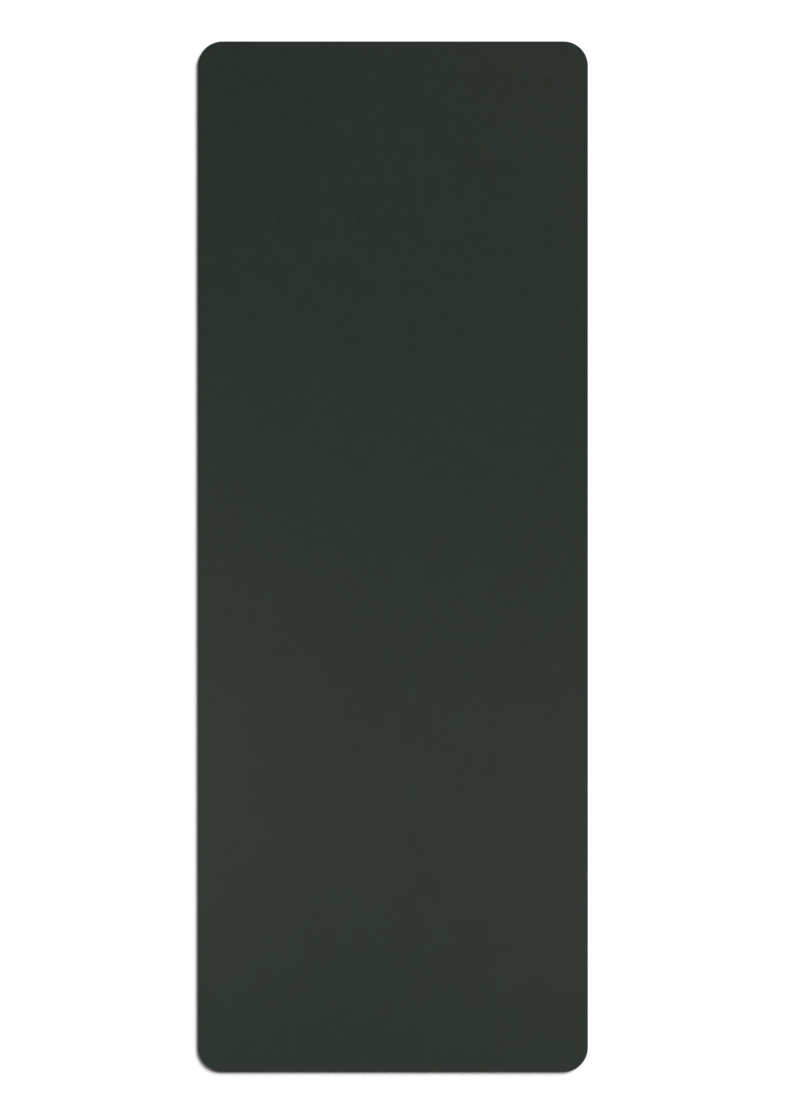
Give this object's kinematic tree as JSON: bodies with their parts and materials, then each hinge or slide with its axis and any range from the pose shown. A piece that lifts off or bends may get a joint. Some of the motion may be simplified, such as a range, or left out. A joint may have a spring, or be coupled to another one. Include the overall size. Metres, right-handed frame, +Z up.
{
  "type": "exercise mat",
  "caption": "Flat exercise mat with rounded corners: a matt film over thin cloth on a foamed rubber base, with zigzag grip ribs moulded underneath.",
  "frame": {"origin": "middle of the underside, on the floor that the mat lies on", "axes": "+X across the mat, +Y along its length, +Z up through its thickness"},
  "size_m": [0.7, 1.85, 0.005],
  "materials": {
    "skin": "matt dark green polyurethane film with a fine grain",
    "cloth": "dark grey non-woven cloth, felted and matt",
    "rubber": "black foamed natural rubber, matt, with fine open pores on its cut edge"
  },
  "bodies": {
    "root": {"rubber_base": "rubber", "fabric_backing": "cloth", "wear_skin": "skin"}
  },
  "joints": []
}
